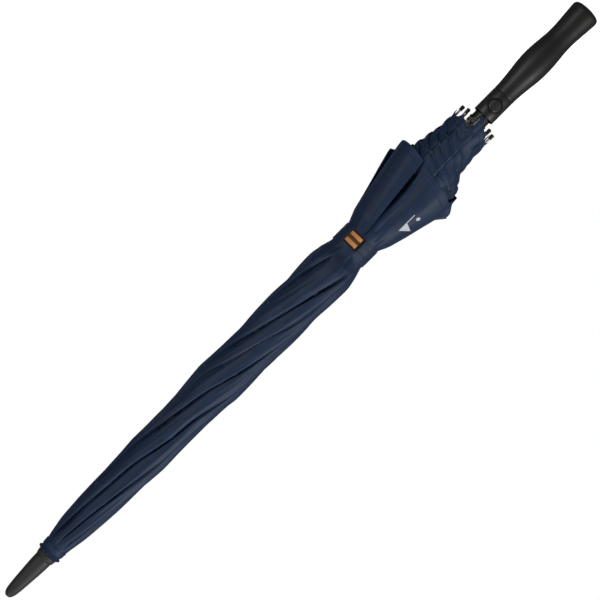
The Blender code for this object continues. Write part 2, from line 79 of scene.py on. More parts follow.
def build_stage():
    world = bpy.data.worlds.new("studio")
    SCENE.world = world
    world.use_nodes = True
    tree = world.node_tree
    back = tree.nodes["Background"]
    back.inputs[0].default_value = (1.0, 1.0, 1.0, 1.0)
    # the backdrop is white to look at, and lights the object like a dimmer white room
    ray = tree.nodes.new("ShaderNodeLightPath")
    level = tree.nodes.new("ShaderNodeMapRange")
    level.inputs[3].default_value = 0.085
    level.inputs[4].default_value = 1.0
    tree.links.new(ray.outputs["Is Camera Ray"], level.inputs[0])
    tree.links.new(level.outputs[0], back.inputs[1])

    cam = bpy.data.objects.new("camera", bpy.data.cameras.new("camera"))
    SCENE.collection.objects.link(cam)
    cam.data.lens = 110.0
    cam.data.sensor_width = 36.0
    distance = 0.7283 * 110.0 / 36.0
    a, b = math.radians(135.2), math.radians(225.2)
    right = Vector((math.cos(a), 0.0, math.cos(b)))
    up = Vector((math.sin(a), 0.0, math.sin(b)))
    cam.matrix_world = look_matrix(right, up, Vector((0.0, -1.0, 0.0)), Vector((0.0004, -distance, 0.4144)))
    SCENE.camera = cam

    def lamp(name, place, aim, size, power, tint=(1.0, 1.0, 1.0)):
        data = bpy.data.lights.new(name, "AREA")
        data.shape = "RECTANGLE"
        data.size, data.size_y = size
        data.energy = power
        data.color = tint
        o = bpy.data.objects.new(name, data)
        SCENE.collection.objects.link(o)
        o.location = place
        o.rotation_mode = "QUATERNION"
        o.rotation_quaternion = (Vector(aim) - Vector(place)).to_track_quat("-Z", "Y")
        o.visible_camera = False
        return o

    lamp("key_light", (-1.95, -0.95, 0.75), (0.0, 0.0, 0.48), (0.7, 1.3), 38.0)
    lamp("front_light", (1.45, -1.67, 0.42), (0.0, 0.0, 0.40), (0.34, 1.6), 19.0)
    lamp("top_light", (-0.3, -0.5, 2.3), (0.0, 0.0, 0.4), (0.9, 0.9), 7.0)
    behind = lamp("back_light", (0.9, 1.9, 0.8), (0.0, 0.0, 0.4), (0.8, 1.6), 11.0)
    behind.visible_glossy = False

    low = CAD_BOX[0].z - 0.0006
    bm = bmesh.new()
    bmesh.ops.create_circle(bm, cap_ends=True, segments=96, radius=0.9)
    mesh = bpy.data.meshes.new("floor")
    bm.to_mesh(mesh)
    bm.free()
    floor = bpy.data.objects.new("floor", mesh)
    floor.location = (0.0, 0.0, low)
    SCENE.collection.objects.link(floor)
    floor.visible_diffuse = False
    floor.visible_glossy = False
    m, tree, shader = blank("floor_white")
    shader.inputs["Base Color"].default_value = (0.93, 0.93, 0.93, 1.0)
    shader.inputs["Roughness"].default_value = 0.9
    shader.inputs["Specular IOR Level"].default_value = 0.0
    shader.inputs["Emission Color"].default_value = (1.0, 1.0, 1.0, 1.0)
    shader.inputs["Emission Strength"].default_value = 0.95
    floor.data.materials.append(m)


# ------------------------------------------------------------------ materials

def blank(name):
    m = bpy.data.materials.new(name)
    m.use_nodes = True
    tree = m.node_tree
    tree.nodes.clear()
    out = tree.nodes.new("ShaderNodeOutputMaterial")
    shader = tree.nodes.new("ShaderNodeBsdfPrincipled")
    tree.links.new(shader.outputs[0], out.inputs[0])
    return m, tree, shader


class Graph:
    """Small helper that adds nodes to a tree."""

    def __init__(self, tree):
        self.t = tree

    def add(self, kind, **values):
        n = self.t.nodes.new(kind)
        for key, value in values.items():
            setattr(n, key, value)
        return n

    def put(self, value, socket):
        if isinstance(value, bpy.types.NodeSocket):
            self.t.links.new(value, socket)
        else:
            socket.default_value = value

    def math(self, op, a, b=0.0, c=None, clamp=False):
        n = self.add("ShaderNodeMath", operation=op, use_clamp=clamp)
        self.put(a, n.inputs[0])
        self.put(b, n.inputs[1])
        if c is not None:
            self.put(c, n.inputs[2])
        return n.outputs[0]

    def noise(self, vector, scale, detail=3.0, rough=0.55):
        n = self.add("ShaderNodeTexNoise")
        self.put(vector, n.inputs["Vector"])
        n.inputs["Scale"].default_value = scale
        n.inputs["Detail"].default_value = detail
        n.inputs["Roughness"].default_value = rough
        return n.outputs[0]

    def span(self, value, a, b, c, d):
        n = self.add("ShaderNodeMapRange")
        self.put(value, n.inputs[0])
        for i, x in enumerate((a, b, c, d)):
            n.inputs[i + 1].default_value = x
        return n.outputs[0]

    def mix(self, factor, a, b):
        n = self.add("ShaderNodeMix", data_type="RGBA")
        self.put(factor, n.inputs[0])
        self.put(a, n.inputs[6])
        self.put(b, n.inputs[7])
        return n.outputs[2]

    def scaled(self, vector, s):
        n = self.add("ShaderNodeVectorMath", operation="MULTIPLY")
        self.put(vector, n.inputs[0])
        n.inputs[1].default_value = s
        return n.outputs[0]

    def bump(self, height, strength, distance, normal=None):
        n = self.add("ShaderNodeBump")
        n.inputs["Strength"].default_value = strength
        n.inputs["Distance"].default_value = distance
        self.put(height, n.inputs["Height"])
        if normal is not None:
            self.put(normal, n.inputs["Normal"])
        return n.outputs[0]


def rgb(r, g, b):
    """sRGB 0..255 to the linear colour a shader takes."""
    def one(v):
        v /= 255.0
        return v / 12.92 if v <= 0.04045 else ((v + 0.055) / 1.055) ** 2.4
    return (one(r), one(g), one(b), 1.0)


def moulded(name, colour, rough, grain=2600.0, depth=0.00003, metal=0.0, change=0.12, spec=0.5, coat=0.0, bump=0.35):
    """Plastic, rubber or enamel: fine grain, soft mottling and slightly uneven gloss."""
    m, tree, shader = blank(name)
    g = Graph(tree)
    place = g.add("ShaderNodeTexCoord").outputs["Object"]
    soft = g.noise(place, 45.0, 4.0)
    lighter = tuple(min(1.0, c * (1 + change)) for c in colour[:3]) + (1.0,)
    darker = tuple(c * (1 - change) for c in colour[:3]) + (1.0,)
    g.put(g.mix(g.span(soft, 0.3, 0.7, 0.0, 1.0), darker, lighter), shader.inputs["Base Color"])
    fine = g.noise(place, grain, 2.0)
    g.put(g.math("ADD", g.span(soft, 0.3, 0.7, rough - 0.05, rough + 0.05), g.span(fine, 0.3, 0.7, -0.02, 0.02)), shader.inputs["Roughness"])
    shader.inputs["Metallic"].default_value = metal
    shader.inputs["Specular IOR Level"].default_value = spec
    if coat:
        shader.inputs["Coat Weight"].default_value = coat
        shader.inputs["Coat Roughness"].default_value = 0.25
    g.put(g.bump(fine, bump, depth), shader.inputs["Normal"])
    return m


def plated(name, colour, rough, along=(1.0, 1.0, 0.03), metal=1.0):
    """Drawn, plated steel: faint lines along the piece and small patches of duller metal."""
    m, tree, shader = blank(name)
    g = Graph(tree)
    place = g.add("ShaderNodeTexCoord").outputs["Object"]
    lines = g.noise(g.scaled(place, along), 3800.0, 2.0)
    patch = g.noise(place, 90.0, 4.0)
    dull = tuple(c * 0.72 for c in colour[:3]) + (1.0,)
    g.put(g.mix(g.span(patch, 0.35, 0.75, 0.0, 1.0), colour, dull), shader.inputs["Base Color"])
    g.put(g.math("ADD", g.span(patch, 0.3, 0.7, rough - 0.06, rough + 0.1), g.span(lines, 0.3, 0.7, -0.05, 0.05)), shader.inputs["Roughness"])
    shader.inputs["Metallic"].default_value = metal
    g.put(g.bump(lines, 0.25, 0.00002), shader.inputs["Normal"])
    return m


def woven(name, base, light, pitch=0.00055, sheen=0.06, rough=0.6, hem=True, mark=False):
    """Plain-weave polyester. The weave follows the cloth's own map, so it moves with the cloth. The hem map draws a
    turned hem with two rows of stitches, and painted shade in the sunken grooves between the stitches.
    """
    m, tree, shader = blank(name)
    g = Graph(tree)
    place = g.add("ShaderNodeTexCoord").outputs["Object"]
    cloth = g.add("ShaderNodeUVMap", uv_map="cloth").outputs[0]
    parts = g.add("ShaderNodeSeparateXYZ")
    g.put(cloth, parts.inputs[0])
    wx = g.math("SINE", g.math("MULTIPLY", parts.outputs[0], 2 * math.pi / pitch))
    wy = g.math("SINE", g.math("MULTIPLY", parts.outputs[1], 2 * math.pi / pitch))
    weave = g.math("MULTIPLY", wx, wy)
    soft = g.noise(place, 38.0, 5.0, 0.6)
    thread = g.noise(g.scaled(cloth, (1.0, 0.05, 1.0)), 1500.0, 2.0)
    tone = g.math("ADD", g.math("MULTIPLY", soft, 0.75), g.math("MULTIPLY", thread, 0.25))
    colour = g.mix(g.span(tone, 0.3, 0.7, 0.0, 1.0), base, light)
    height = g.math("ADD", g.math("MULTIPLY", weave, 0.25), g.math("MULTIPLY", thread, 0.7))
    if hem:
        edge = g.add("ShaderNodeUVMap", uv_map="hem").outputs[0]
        e = g.add("ShaderNodeSeparateXYZ")
        g.put(edge, e.inputs[0])
        off = e.outputs[1]
        dash = g.span(g.math("SINE", g.math("MULTIPLY", e.outputs[0], 2 * math.pi / 0.0026)), -0.35, -0.1, 0.0, 1.0)
        row1 = g.span(g.math("ABSOLUTE", g.math("SUBTRACT", off, 0.0016)), 0.00022, 0.0005, 1.0, 0.0)
        row2 = g.span(g.math("ABSOLUTE", g.math("SUBTRACT", off, 0.0078)), 0.00022, 0.0005, 1.0, 0.0)
        rows = g.math("MAXIMUM", row1, row2)
        stitches = g.math("MULTIPLY", rows, dash, clamp=True)
        turned_up = g.span(off, 0.0084, 0.0093, 1.0, 0.0)
        pucker = g.math("MULTIPLY", g.noise(g.scaled(edge, (1.0, 0.25, 1.0)), 420.0, 2.0), turned_up)
        colour = g.mix(g.math("MULTIPLY", stitches, 0.55), colour, tuple(min(1.0, c * 3.0 + 0.01) for c in light[:3]) + (1.0,))
        # between the stitches the rows sink into the cloth; darkening the colour there is painted shade in the groove
        groove = g.math("MULTIPLY", rows, g.math("SUBTRACT", 1.0, dash))
        colour = g.mix(g.math("MULTIPLY", groove, 0.6), colour, tuple(c * 0.3 for c in base[:3]) + (1.0,))
        height2 = g.math("ADD", g.math("MULTIPLY", turned_up, 1.0), g.math("SUBTRACT", g.math("MULTIPLY", pucker, 0.9), g.math("MULTIPLY", rows, 0.5)))
    if mark:
        spot = g.add("ShaderNodeUVMap", uv_map="print").outputs[0]
        s = g.add("ShaderNodeSeparateXYZ")
        g.put(spot, s.inputs[0])
        colour = g.mix(flag_mark(g, s.outputs[0], s.outputs[1]), colour, rgb(200, 205, 214))
    g.put(colour, shader.inputs["Base Color"])
    shader.inputs["Roughness"].default_value = rough
    shader.inputs["Specular IOR Level"].default_value = 0.35
    shader.inputs["Sheen Weight"].default_value = sheen
    shader.inputs["Sheen Roughness"].default_value = 0.45
    shader.inputs["Sheen Tint"].default_value = (0.62, 0.72, 1.0, 1.0)
    wrinkle = g.noise(g.scaled(cloth, (1.0, 0.22, 1.0)), 130.0, 4.0, 0.6)
    normal = g.bump(wrinkle, 0.30, 0.0005)
    normal = g.bump(height, 0.10, 0.00004, normal)
    if hem:
        normal = g.bump(height2, 0.8, 0.00035, normal)
    g.put(normal, shader.inputs["Normal"])
    return m


def flag_mark(g, u, v):
    """A plain printed sign: a solid pennant on a pole, and a ball beside it; u and v are in millimetres from its middle."""
    def within(value, low, high, soft=0.15):
        a = g.span(value, low - soft, low + soft, 0.0, 1.0)
        b = g.span(value, high - soft, high + soft, 1.0, 0.0)
        return g.math("MULTIPLY", a, b)
    pole = g.math("MULTIPLY", within(u, -4.4, -3.5), within(v, -9.0, 9.0))
    slope = g.math("ADD", g.math("MULTIPLY", g.math("ABSOLUTE", g.math("SUBTRACT", v, 4.6)), 1.9), u)
    pennant = g.math("MULTIPLY", g.span(slope, 4.6, 4.9, 1.0, 0.0), within(u, -3.6, 6.0))
    du, dv = g.math("SUBTRACT", u, 1.6), g.math("ADD", v, 7.3)
    far = g.math("SQRT", g.math("ADD", g.math("MULTIPLY", du, du), g.math("MULTIPLY", dv, dv)))
    ball = g.span(far, 1.55, 1.85, 1.0, 0.0)
    return g.math("MAXIMUM", g.math("MAXIMUM", pole, pennant), ball)


MAT = {}


def build_materials():
    MAT["cloth"] = woven("navy_cloth", rgb(14, 33, 60), rgb(24, 46, 78))
    MAT["cloth_mark"] = woven("navy_cloth_printed", rgb(14, 33, 60), rgb(24, 46, 78), mark=True)
    MAT["strap"] = woven("strap_cloth", rgb(14, 31, 56), rgb(24, 43, 71), hem=True)
    MAT["grip"] = moulded("grip_rubber", rgb(34, 34, 33), 0.47, grain=3000.0, spec=0.42, bump=0.25)
    MAT["housing"] = moulded("handle_plastic", rgb(34, 34, 33), 0.45, grain=4200.0, spec=0.45, bump=0.25)
    MAT["button"] = moulded("button_plastic", rgb(46, 46, 45), 0.36, grain=4200.0, spec=0.5, bump=0.2)
    MAT["ferrule"] = moulded("ferrule_plastic", rgb(42, 42, 42), 0.55, grain=2600.0, bump=0.45)
    MAT["black"] = moulded("black_plastic", rgb(24, 24, 24), 0.42)
    MAT["enamel"] = moulded("shaft_enamel", rgb(20, 20, 21), 0.34, grain=3000.0, depth=0.00001, coat=0.4, bump=0.03)
    MAT["nylon"] = moulded("white_nylon", (0.62, 0.61, 0.57, 1.0), 0.45, change=0.05)
    MAT["tip"] = moulded("tip_plastic", rgb(38, 37, 36), 0.3)
    MAT["rib"] = plated("rib_steel", (0.80, 0.79, 0.76, 1.0), 0.38, metal=0.55)
    MAT["steel"] = plated("plated_steel", (0.66, 0.63, 0.58, 1.0), 0.35, metal=0.8)
    # stretchers: a pale brownish steel colour, made lighter to stand in for light where they sit in the shade under the
    # housing: painted light
    MAT["painted_light_stretcher"] = plated("stretcher_steel", (0.86, 0.70, 0.58, 1.0), 0.36, metal=0.4)
    MAT["hook"] = moulded("hook_tape", rgb(20, 20, 21), 0.85, grain=1500.0, depth=0.0004, bump=0.9, spec=0.2)


def paint(node, mat):
    o = frame["nodes"][node]
    if not o.material_slots:
        o.data.materials.append(MAT[mat])
    for s in o.material_slots:
        s.material = MAT[mat]


# ------------------------------------------------------------------ mesh helpers

def table(knots):
    xs = np.array([k[0] for k in knots], float)
    ys = np.array([k[1] for k in knots], float)
    order = np.argsort(xs)
    xs, ys = xs[order], ys[order]

    def at(x):
        return np.interp(x, xs, ys)
    return at


def smooth(x, a, b):
    """0 at a, 1 at b, with level ends."""
    t = np.clip((np.asarray(x, float) - a) / (b - a), 0.0, 1.0)
    return t * t * (3 - 2 * t)


def grid_object(name, points, material, maps=None, sharp_columns=(), closed=False):
    """points is rows x columns x 3. A face for each cell; closed joins the last column to the first."""
    rows, cols = points.shape[:2]
    verts = points.reshape(-1, 3)
    i, j = np.meshgrid(np.arange(rows - 1), np.arange(cols if closed else cols - 1), indexing="ij")
    jn = (j + 1) % cols
    faces = np.stack([i * cols + j, i * cols + jn, (i + 1) * cols + jn, (i + 1) * cols + j], -1).reshape(-1, 4)
    mesh = bpy.data.meshes.new(name)
    mesh.vertices.add(len(verts))
    mesh.vertices.foreach_set("co", verts.astype(np.float32).ravel())
    mesh.loops.add(len(faces) * 4)
    mesh.polygons.add(len(faces))
    mesh.polygons.foreach_set("loop_start", np.arange(len(faces)) * 4)
    mesh.loops.foreach_set("vertex_index", faces.astype(np.int32).ravel())
    mesh.update(calc_edges=True)
    mesh.polygons.foreach_set("use_smooth", np.ones(len(faces), bool))
    for key, values in (maps or {}).items():
        layer = mesh.uv_layers.new(name=key)
        layer.data.foreach_set("uv", values.reshape(-1, 2)[faces.ravel()].astype(np.float32).ravel())
    if len(sharp_columns):
        marks = mesh.attributes.new("sharp_edge", "BOOLEAN", "EDGE")
        ends = np.zeros(len(mesh.edges) * 2, np.int32)
        mesh.edges.foreach_get("vertices", ends)
        ends = ends.reshape(-1, 2)
        same = (ends[:, 0] % cols == ends[:, 1] % cols) & np.isin(ends[:, 0] % cols, list(sharp_columns))
        marks.data.foreach_set("value", same)
    mesh.validate()
    mesh.update()
    o = bpy.data.objects.new(name, mesh)
    SCENE.collection.objects.link(o)
    o.data.materials.append(material)
    return o


def turned(name, profile, material, sides=96, close_ends=True):
    """A turned body from (radius, z) points in metres, top to bottom or bottom to top; ends on the axis are capped by a point."""
    prof = np.array(profile, float)
    a = np.linspace(0, 2 * math.pi, sides, endpoint=False)
    bm = bmesh.new()
    rings = []
    for r, z in prof:
        if r < 1e-6:
            rings.append([bm.verts.new((0.0, 0.0, z))])
        else:
            rings.append([bm.verts.new((r * math.cos(t), r * math.sin(t), z)) for t in a])
    for p, q in zip(rings, rings[1:]):
        for i in range(sides):
            k = (i + 1) % sides
            if len(p) == 1 and len(q) == 1:
                continue
            if len(p) == 1:
                bm.faces.new((p[0], q[i], q[k]))
            elif len(q) == 1:
                bm.faces.new((p[i], q[0], p[k]))
            else:
                bm.faces.new((p[i], q[i], q[k], p[k]))
    bmesh.ops.recalc_face_normals(bm, faces=bm.faces)
    mesh = bpy.data.meshes.new(name)
    bm.to_mesh(mesh)
    bm.free()
    mesh.polygons.foreach_set("use_smooth", np.ones(len(mesh.polygons), bool))
    mesh.set_sharp_from_angle(angle=math.radians(38))
    o = bpy.data.objects.new(name, mesh)
    SCENE.collection.objects.link(o)
    o.data.materials.append(material)
    return o


def curve_through(points, n):
    """A smooth Catmull-Rom line through (a, b) points, n samples for each span."""
    p = np.array(points, float)
    p = np.vstack([2 * p[0] - p[1], p, 2 * p[-1] - p[-2]])
    out = []
    for i in range(1, len(p) - 2):
        for t in np.linspace(0, 1, n, endpoint=False):
            a, b, c, d = p[i - 1], p[i], p[i + 1], p[i + 2]
            out.append(0.5 * (2 * b + (c - a) * t + (2 * a - 5 * b + 4 * c - d) * t * t + (3 * b - a - 3 * c + d) * t ** 3))
    out.append(p[-2])
    return [tuple(v) for v in out]


# ------------------------------------------------------------------ the rolled canopy

Z_CROWN, Z_TIPS, TOP_R, TIP_R = 0.830, 0.107, 0.0105, 0.025
TOP = 0.8350          # the gores end here, under the fixed cap of cloth
ROWS = 300


def rib_r(z):
    return TOP_R + (TIP_R - TOP_R) * np.clip((Z_CROWN - z) / (Z_CROWN - Z_TIPS), -0.02, 1.02)


# mean outer radius of the rolled cloth, z in metres, radius in mm
MEAN = table([(0.8415, 14.9), (0.838, 15.2), (0.823, 16.4), (0.799, 18.5), (0.774, 20.3), (0.750, 21.4), (0.726, 22.3),
              (0.702, 23.8), (0.677, 25.3), (0.653, 24.7), (0.604, 24.9), (0.580, 26.8), (0.556, 28.9), (0.532, 28.4),
              (0.507, 27.9), (0.483, 27.3), (0.459, 28.4), (0.434, 28.8), (0.410, 28.4), (0.386, 28.8), (0.362, 29.3),
              (0.3495, 28.2), (0.3425, 26.2), (0.3375, 24.9), (0.333, 24.5), (0.307, 24.5), (0.303, 25.6), (0.298, 27.6), (0.288, 31.0)])
# turn of the folds round the roll, degrees
TWIST = table([(0.8415, 0.0), (0.829, -6.0), (0.617, -75.0), (0.568, -97.0), (0.410, -184.0), (0.332, -224.0), (0.25, -232.0)])
# where each long fold starts at the crown (degrees) and how deep its step is (mm)
FOLDS = [(12, 4.2), (50, 2.0), (85, 3.8), (148, 4.4), (196, 3.3), (240, 4.0), (283, 3.0), (325, 4.1)]


def wander(x, seed, n=4, base=1.0):
    """Smooth, repeatable wandering between about -1 and 1."""
    rng = np.random.RandomState(seed)
    out = np.zeros_like(np.asarray(x, float))
    for i in range(n):
        out = out + rng.uniform(0.4, 1.0) / (1 + 0.5 * i) * np.sin(base * (1 + 0.83 * i) * x + rng.uniform(0, 6.28))
    return out / 1.9


def roll_surface(az, z):
    """Outer radius in mm of the rolled cloth above the strap, its folds rounded over about a millimetre."""
    return sum(roll_profile(np.asarray(az, float) + turn, z) for turn in (-1.5, -0.75, 0.0, 0.75, 1.5)) / 5.0


def roll_profile(az, z):
    """Outer radius in mm of the rolled cloth above the strap, at azimuth az (degrees) and height z (metres)."""
    az, z = np.broadcast_arrays(np.asarray(az, float), np.asarray(z, float))
    mean = MEAN(z)
    fade = smooth(z, 0.8405, 0.800) * smooth(z, 0.3335, 0.372)
    fade = np.maximum(fade, 0.22 * smooth(z, 0.8405, 0.82) * smooth(z, 0.333, 0.345))
    lines = []
    for i, (start, deep) in enumerate(FOLDS):
        lines.append(start + TWIST(z) + 5.5 * wander(z, 20 + i, base=21.0))
    order = np.argsort([f[0] for f in FOLDS])
    lines = [lines[i] for i in order]
    deep = [FOLDS[i][1] for i in order]
    out = mean.copy()
    n = len(lines)
    for i in range(n):
        low = lines[i]
        high = lines[(i + 1) % n] + (360.0 if i == n - 1 else 0.0)
        d = np.mod(az - low, 360.0)
        span = high - low
        inside = d < span
        f = np.clip(d / span, 0.0, 1.0)
        arc = mean * math.pi / 180.0
        d_own, d_next = d * arc, (span - d) * arc
        a_own = deep[i] * (1 + 0.35 * wander(z, 50 + i, base=16.0))
        a_next = deep[(i + 1) % n] * (1 + 0.35 * wander(z, 50 + (i + 1) % n, base=16.0))
        rise = 0.5 * a_own * (1 - f) ** 1.2 - 0.5 * a_next * f ** 1.4
        crown = 0.075 * span * np.sin(math.pi * f ** 0.8) * (0.55 + 0.25 * wander(z, 80 + i, base=13.0))
        lip = -0.45 * a_own * np.exp(-(d_own / 0.7) ** 2)
        groove = -0.80 * a_next * np.exp(-(d_next / 2.1) ** 2)
        # a second, soft pleat on the wider bands
        second = -0.9 * smooth(span, 36, 56) * np.exp(-((f - 0.55 - 0.12 * wander(z, 95 + i, base=9.0)) * span * arc / 2.4) ** 2)
        out = np.where(inside, out + fade * (rise + crown + lip + groove + second - 0.6), out)
    # gathers beside the strap
    near = np.exp(-((z - 0.3425) / 0.010) ** 2)
    a = np.radians(az)
    out = out + near * (0.55 * np.sin(15 * a + 1.0) + 0.4 * np.sin(23 * a + 2.0 + 60 * z)) * smooth(z, 0.3325, 0.337)
    # small unevenness, drawn out along the folds
    t = np.radians(az - TWIST(z))
    out = out + fade * (0.22 * np.sin(9 * t + 26 * z) + 0.16 * np.sin(17 * t - 41 * z + 1.3) + 0.12 * np.sin(27 * t + 73 * z + 0.4))
    return out


# the open petals between the strap and the hems. For each gore: azimuth in degrees and radius in mm at four places
# across the petal, from its own free fold to where it goes under the next petal's fold; z in metres
ZK = [0.303, 0.290, 0.270, 0.250, 0.230, 0.210, 0.195]
PETALS = {
    6: dict(az=[(-169, -138, -108, -74), (-170, -139, -109, -72), (-171, -140, -110, -70), (-171, -140, -110, -68), (-171, -140, -110, -66), (-172, -141, -111, -64), (-172, -141, -111, -62)],
            r=[(25.6, 25.3, 25.0, 21.6), (31.4, 28.4, 24.6, 19.2), (37.0, 32.0, 25.4, 18.0), (41.6, 36.0, 26.6, 18.4), (46.4, 39.8, 29.2, 21.0), (49.6, 43.2, 33.8, 26.6), (50.0, 44.6, 37.0, 32.6)],
            hem=(0.2064, 0.2030, 0.1985, 0.1955)),
    7: dict(az=[(-80, -76, -72, -68)] * 7,
            r=[(21.0, 20.8, 20.6, 20.4), (18.8, 18.6, 18.4, 18.2), (17.4, 17.2, 17.0, 16.8), (17.8, 17.6, 17.4, 17.2), (20.4, 20.2, 20.0, 19.8), (26.0, 25.8, 25.6, 25.4), (31.0, 31.0, 31.0, 31.0)],
            hem=(0.2000, 0.1990, 0.1980, 0.1960)),
    8: dict(az=[(-87, -58, -26, 12), (-86, -57, -25, 13), (-82, -54, -23, 14), (-78.5, -51, -21, 14), (-75.5, -49, -19, 14), (-72.5, -47, -18, 14), (-70, -45, -17, 13)],
            r=[(25.8, 25.8, 25.8, 25.2), (28.6, 30.4, 30.8, 29.6), (31.0, 34.6, 35.4, 33.6), (32.8, 37.6, 39.0, 37.4), (34.6, 40.4, 42.8, 41.4), (36.2, 42.8, 46.4, 45.4), (37.0, 44.0, 48.6, 48.0)],
            hem=(0.1925, 0.1892, 0.1888, 0.1920)),
    1: dict(az=[(7, 20, 34, 48)] * 7,
            r=[(26.2, 26.0, 25.8, 25.0), (31.6, 31.2, 30.4, 28.6), (36.4, 35.4, 34.0, 31.4), (41.8, 40.0, 37.6, 34.4), (47.4, 44.4, 41.2, 37.4), (52.6, 48.6, 44.6, 40.6), (54.0, 50.0, 46.0, 42.0)],
            hem=(0.2055, 0.2025, 0.1990, 0.1960)),
    2: dict(az=[(43, 55, 68, 83), (43, 55, 68, 83), (43, 55, 68, 83), (42, 54, 67, 82), (41, 53, 66, 81), (40, 52, 65, 80), (39, 51, 64, 80)],
            r=[(25.9, 25.8, 25.5, 24.6), (31.0, 30.4, 29.4, 27.4), (35.0, 33.8, 32.2, 29.6), (38.6, 36.8, 34.6, 31.8), (42.0, 39.8, 37.2, 34.0), (45.4, 42.4, 39.6, 36.2), (47.0, 43.6, 40.6, 37.2)],
            hem=(0.2080, 0.2040, 0.2000, 0.1955)),
    3: dict(az=[(78, 90, 103, 119), (78, 90, 103, 119), (77, 89, 103, 119), (76, 89, 103, 119), (75, 88, 102, 118), (74, 87, 101, 118), (73, 86, 101, 118)],
            r=[(25.7, 25.6, 25.3, 24.4), (30.2, 30.0, 29.0, 27.0), (33.6, 33.0, 31.4, 28.8), (36.8, 35.8, 33.6, 30.8), (39.8, 38.2, 35.8, 32.8), (42.6, 40.8, 38.2, 35.0), (44.2, 42.0, 39.2, 36.0)],
            hem=(0.2020, 0.2000, 0.1975, 0.1945)),
    4: dict(az=[(113, 134, 158, 186), (113, 134, 158, 186), (113, 134, 158, 186), (112, 134, 158, 186), (111, 133, 158, 186), (110, 132, 157, 185), (109, 132, 157, 185)],
            r=[(25.8, 25.7, 25.5, 24.6), (30.0, 31.2, 31.4, 28.6), (33.6, 35.4, 36.4, 33.6), (36.8, 39.0, 40.4, 38.0), (40.0, 42.4, 43.8, 41.8), (43.0, 45.6, 46.6, 44.8), (44.4, 46.8, 47.6, 45.8)],
            hem=(0.2070, 0.2050, 0.2020, 0.1980)),
    5: dict(az=[(179, 183, 187, 192)] * 4 + [(178, 182, 187, 192), (177, 182, 187, 192), (177, 182, 187, 192)],
            r=[(25.9, 25.6, 25.3, 24.8), (31.8, 31.0, 30.4, 29.6), (37.6, 36.4, 35.4, 34.6), (42.4, 41.4, 40.4, 39.4), (47.6, 46.0, 45.0, 44.0), (63.5, 56.0, 51.0, 47.0), (60.0, 54.0, 50.0, 47.0)],
            hem=(0.2190, 0.2150, 0.2100, 0.2050)),
}


def across(values, q):
    """Values at q = 0, 1/3, 2/3, 1 joined by a smooth cubic; values has the four last."""
    a, b, c, d = (values[..., i] for i in range(4))
    l0 = -4.5 * (q - 1 / 3) * (q - 2 / 3) * (q - 1)
    l1 = 13.5 * q * (q - 2 / 3) * (q - 1)
    l2 = -13.5 * q * (q - 1 / 3) * (q - 1)
    l3 = 4.5 * q * (q - 1 / 3) * (q - 2 / 3)
    return a * l0 + b * l1 + c * l2 + d * l3


def petal_at(k, q, z):
    """(azimuth in degrees, radius in mm) of gore k's petal."""
    p = PETALS[k]
    order = np.argsort(ZK)
    zs = np.array(ZK)[order]

    def level(rows):
        rows = np.array(rows, float)[order]
        low, high = rows[0] - (rows[1] - rows[0]) * 0.6, rows[-1]
        xs = np.concatenate([[zs[0] - 0.02], zs])
        ys = np.vstack([rows[0] + (rows[0] - rows[1]) * (0.02 / (zs[1] - zs[0])) * 0.5, rows])
        return np.stack([np.interp(z, xs, ys[:, i]) for i in range(4)], -1)
    return across(level(p["az"]), q), across(level(p["r"]), q)


# outer limit of the hidden layers, mm, at four sides of the roll: +X, +Y (back), -X, -Y (front)
SIDES = [
    table([(0.12, 31.5), (0.14, 32.5), (0.15, 34.5), (0.16, 36.5), (0.172, 37.5), (0.182, 38.6), (0.192, 38.8), (0.21, 38.6), (0.23, 37.0), (0.25, 34.6), (0.27, 32.5), (0.29, 28.6), (0.303, 24.6)]),
    table([(0.12, 30.0), (0.14, 32.0), (0.15, 33.0), (0.16, 35.0), (0.175, 37.0), (0.185, 38.0), (0.195, 38.0), (0.21, 36.0), (0.23, 33.6), (0.25, 31.4), (0.27, 29.2), (0.29, 27.0), (0.303, 24.4)]),
    table([(0.12, 27.5), (0.15, 28.6), (0.1685, 31.5), (0.1756, 37.0), (0.182, 41.0), (0.19, 44.0), (0.21, 42.0), (0.23, 39.0), (0.25, 35.5), (0.27, 32.0), (0.29, 28.2), (0.303, 24.6)]),
    table([(0.12, 29.0), (0.15, 32.0), (0.16, 33.4), (0.175, 34.6), (0.187, 35.0), (0.195, 33.6), (0.21, 29.0), (0.23, 25.0), (0.25, 22.2), (0.27, 21.6), (0.29, 22.6), (0.303, 23.6)]),
]


def gap_depth(az, z):
    """How much deeper the cloth dips between the two front petals, mm."""
    d = np.mod(np.asarray(az, float) + 68.0 + 180.0, 360.0) - 180.0
    return 5.2 * np.exp(-(d / 7.5) ** 2) * smooth(z, 0.312, 0.292) * smooth(z, 0.196, 0.222)


def inner_limit(az, z):
    a = np.radians(az)
    c, s = np.cos(a), np.sin(a)
    w = [np.maximum(c, 0) ** 2, np.maximum(s, 0) ** 2, np.maximum(-c, 0) ** 2, np.maximum(-s, 0) ** 2]
    low = sum(wi * side(z) for wi, side in zip(w, SIDES))
    low = low - gap_depth(az, z)
    high = np.minimum(MEAN(z) - 6.9, MEAN(z) * 0.84)
    high = np.where(z < 0.345, 23.9, high)
    return low + (high - low) * smooth(z, 0.300, 0.318)


GORE_L = 0.723
HALF = math.radians(20.808)
HIDDEN_SHARE = 0.0567
LEVELS = 5


def gore_width(z):
    return 2 * math.sin(HALF) * np.clip((Z_CROWN - z) / 0.94, 0.004, GORE_L)


